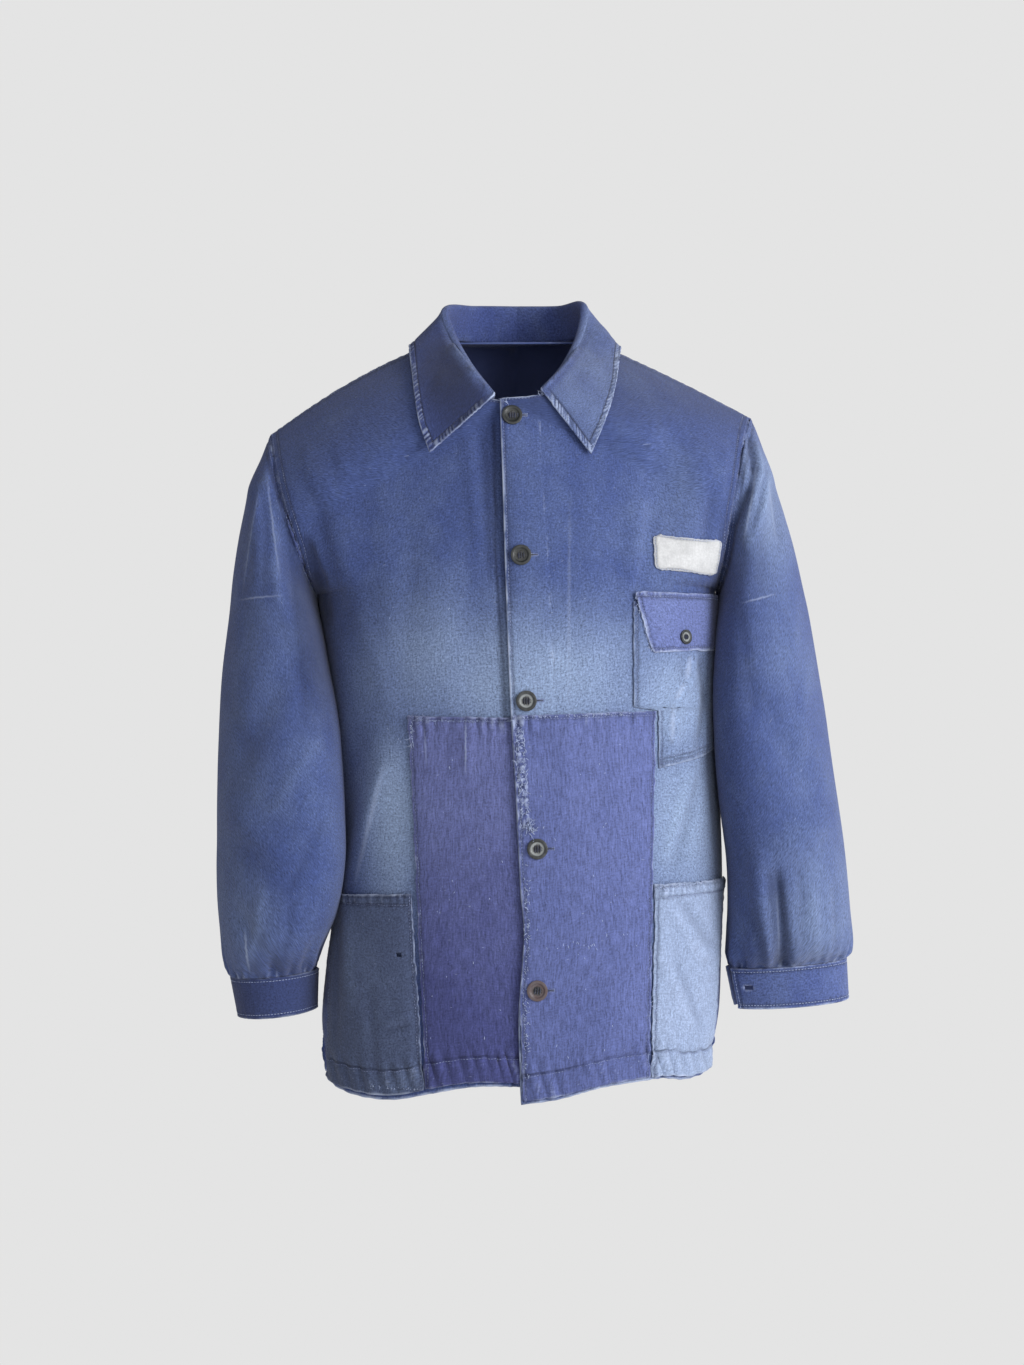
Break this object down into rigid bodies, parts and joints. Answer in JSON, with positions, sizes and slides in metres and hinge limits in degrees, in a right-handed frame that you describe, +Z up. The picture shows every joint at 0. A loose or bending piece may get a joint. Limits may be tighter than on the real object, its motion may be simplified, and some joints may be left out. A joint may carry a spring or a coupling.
{
  "type": "work jacket",
  "caption": "Worn blue cotton work jacket with sewn patches, hollow as if worn, with a folded collar, patch pockets and buttoned front.",
  "frame": {"origin": "middle of the neck opening, level with the neck ends of the shoulder seams, where the wearer's shoulders hold the jacket", "axes": "+Z up, the front faces -Y, +X towards the wearer's left sleeve"},
  "size_m": [0.577, 0.2552, 0.7267],
  "materials": {
    "body_cotton": "worn blue cotton twill, faded to grey blue over the belly",
    "patch_cotton": "violet blue cotton twill, less worn",
    "pocket_cotton_dark": "dark slate blue cotton twill, stained",
    "pocket_cotton_pale": "pale washed blue cotton twill",
    "cuff_cotton": "doubled violet blue cotton twill with worn edges",
    "collar_cotton": "doubled navy blue cotton twill with pale worn edges",
    "label_cloth": "off-white worn cotton tape",
    "button_dark": "dark green black, dull from wear",
    "button_brown": "dark brown, dull from wear",
    "button_grey": "grey, dull from wear"
  },
  "bodies": {
    "root": {"front_right": "body_cotton", "front_left": "body_cotton", "back": "body_cotton", "sleeve_right": "body_cotton", "sleeve_left": "body_cotton", "cuff_right": "cuff_cotton", "cuff_left": "cuff_cotton", "collar": "collar_cotton", "patch_right": "patch_cotton", "patch_left": "patch_cotton", "hip_pocket_right": "pocket_cotton_dark", "hip_pocket_left": "pocket_cotton_pale", "chest_pocket": "body_cotton", "chest_flap": "patch_cotton", "label": "label_cloth", "button_1": "button_dark", "button_2": "button_dark", "button_3": "button_dark", "button_4": "button_dark", "button_5": "button_brown", "flap_button": "button_grey", "cuff_button_right": "button_dark", "cuff_button_left": "button_dark"}
  },
  "joints": []
}
